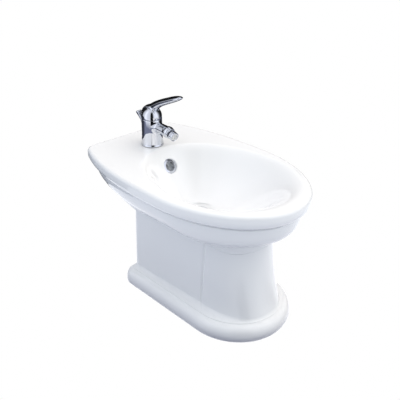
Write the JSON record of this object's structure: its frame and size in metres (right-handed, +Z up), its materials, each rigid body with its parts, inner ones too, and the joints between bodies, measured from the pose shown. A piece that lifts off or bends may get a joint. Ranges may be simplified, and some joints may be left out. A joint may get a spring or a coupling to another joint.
{
  "type": "bidet",
  "caption": "Floor-standing white ceramic bidet with an oval basin, a chrome single-lever mixer with a swivel nozzle, and a pop-up waste.",
  "frame": {"origin": "middle of the rim outline, on the floor", "axes": "+Z up, +Y towards the wall side at the back, -Y towards the front tip, +X to the right seen from the front towards the wall"},
  "size_m": [0.38, 0.6, 0.5266],
  "materials": {
    "glaze": "white gloss glaze",
    "chrome": "mirror chrome plate on brass",
    "brass": "plain turned brass",
    "steel": "zinc-plated steel",
    "copper": "copper tube, drawn",
    "rubber": "black rubber",
    "nylon": "natural nylon",
    "plastic": "white moulded plastic",
    "cartridge": "moulded cartridge plastic"
  },
  "bodies": {
    "base": {"ceramic_body": "glaze", "overflow_ring": "chrome", "fixing_sleeves": "nylon", "tap_body": "chrome", "base_seal": "rubber", "tap_studs": "brass", "tap_gasket": "rubber", "tap_clamp_plate": "steel", "tap_nuts": "brass", "supply_tail_cold": "copper", "supply_tail_hot": "copper", "cartridge_seals": "rubber", "cartridge_body": "cartridge", "cartridge_nut": "brass", "dome_bearing": "nylon", "nozzle_collar": "chrome", "waste_flange": "chrome", "flange_seal": "rubber", "waste_seal": "rubber", "waste_washer": "nylon", "waste_nut": "brass", "waste_tee": "plastic", "tee_seal": "rubber", "pivot_seat": "nylon", "pivot_nut": "plastic"},
    "dome": {"dome_cover": "chrome", "cartridge_rotor": "cartridge"},
    "handle": {"cartridge_stem": "steel", "lever_handle": "chrome", "lever_grub_screw": "steel", "lever_index_plug": "chrome"},
    "nozzle_swivel": {"nozzle_seat": "nylon"},
    "nozzle": {"nozzle_ball": "chrome", "nozzle_housing": "chrome", "aerator_washer": "rubber", "aerator_insert": "nylon"},
    "lift": {"lift_rod": "chrome", "lift_knob": "chrome", "rod_clamp": "steel", "clamp_screw": "brass", "linkage_strap": "steel", "spring_clip": "steel"},
    "pivot": {"pivot_rod": "steel"},
    "stopper": {"plug": "chrome", "plug_seal": "rubber"}
  },
  "joints": [
    {"name": "handle_turn", "type": "hinge", "parent": "base", "child": "dome", "pos_m": [0, 0.192, 0.449], "axis": [0, 0, 1], "range_deg": [-45, 45]},
    {"name": "handle_lift", "type": "hinge", "parent": "dome", "child": "handle", "pos_m": [0, 0.192, 0.449], "axis": [-1, 0, 0], "range_deg": [0, 25]},
    {"name": "nozzle_swing", "type": "hinge", "parent": "base", "child": "nozzle_swivel", "pos_m": [0, 0.126, 0.422], "axis": [0, 0, 1], "range_deg": [-12, 12]},
    {"name": "nozzle_tilt", "type": "hinge", "parent": "nozzle_swivel", "child": "nozzle", "pos_m": [0, 0.126, 0.422], "axis": [-1, 0, 0], "range_deg": [-12, 12]},
    {"name": "lift_slide", "type": "slide", "parent": "base", "child": "lift", "axis": [0, 0.4695, 0.8829], "range_m": [0, 0.03]},
    {"name": "pivot_hinge", "type": "hinge", "parent": "base", "child": "pivot", "pos_m": [0, 0.044, 0.142], "axis": [1, 0, 0], "range_deg": [0, 9.5]},
    {"name": "plug_slide", "type": "slide", "parent": "base", "child": "stopper", "axis": [0, 0, 1], "range_m": [-0.0056, 0]}
  ],
  "couplings": [
    {"joint": "pivot_hinge", "follows": "lift_slide", "rad_per_m": 5.486},
    {"joint": "plug_slide", "follows": "lift_slide", "ratio": -0.1865}
  ]
}
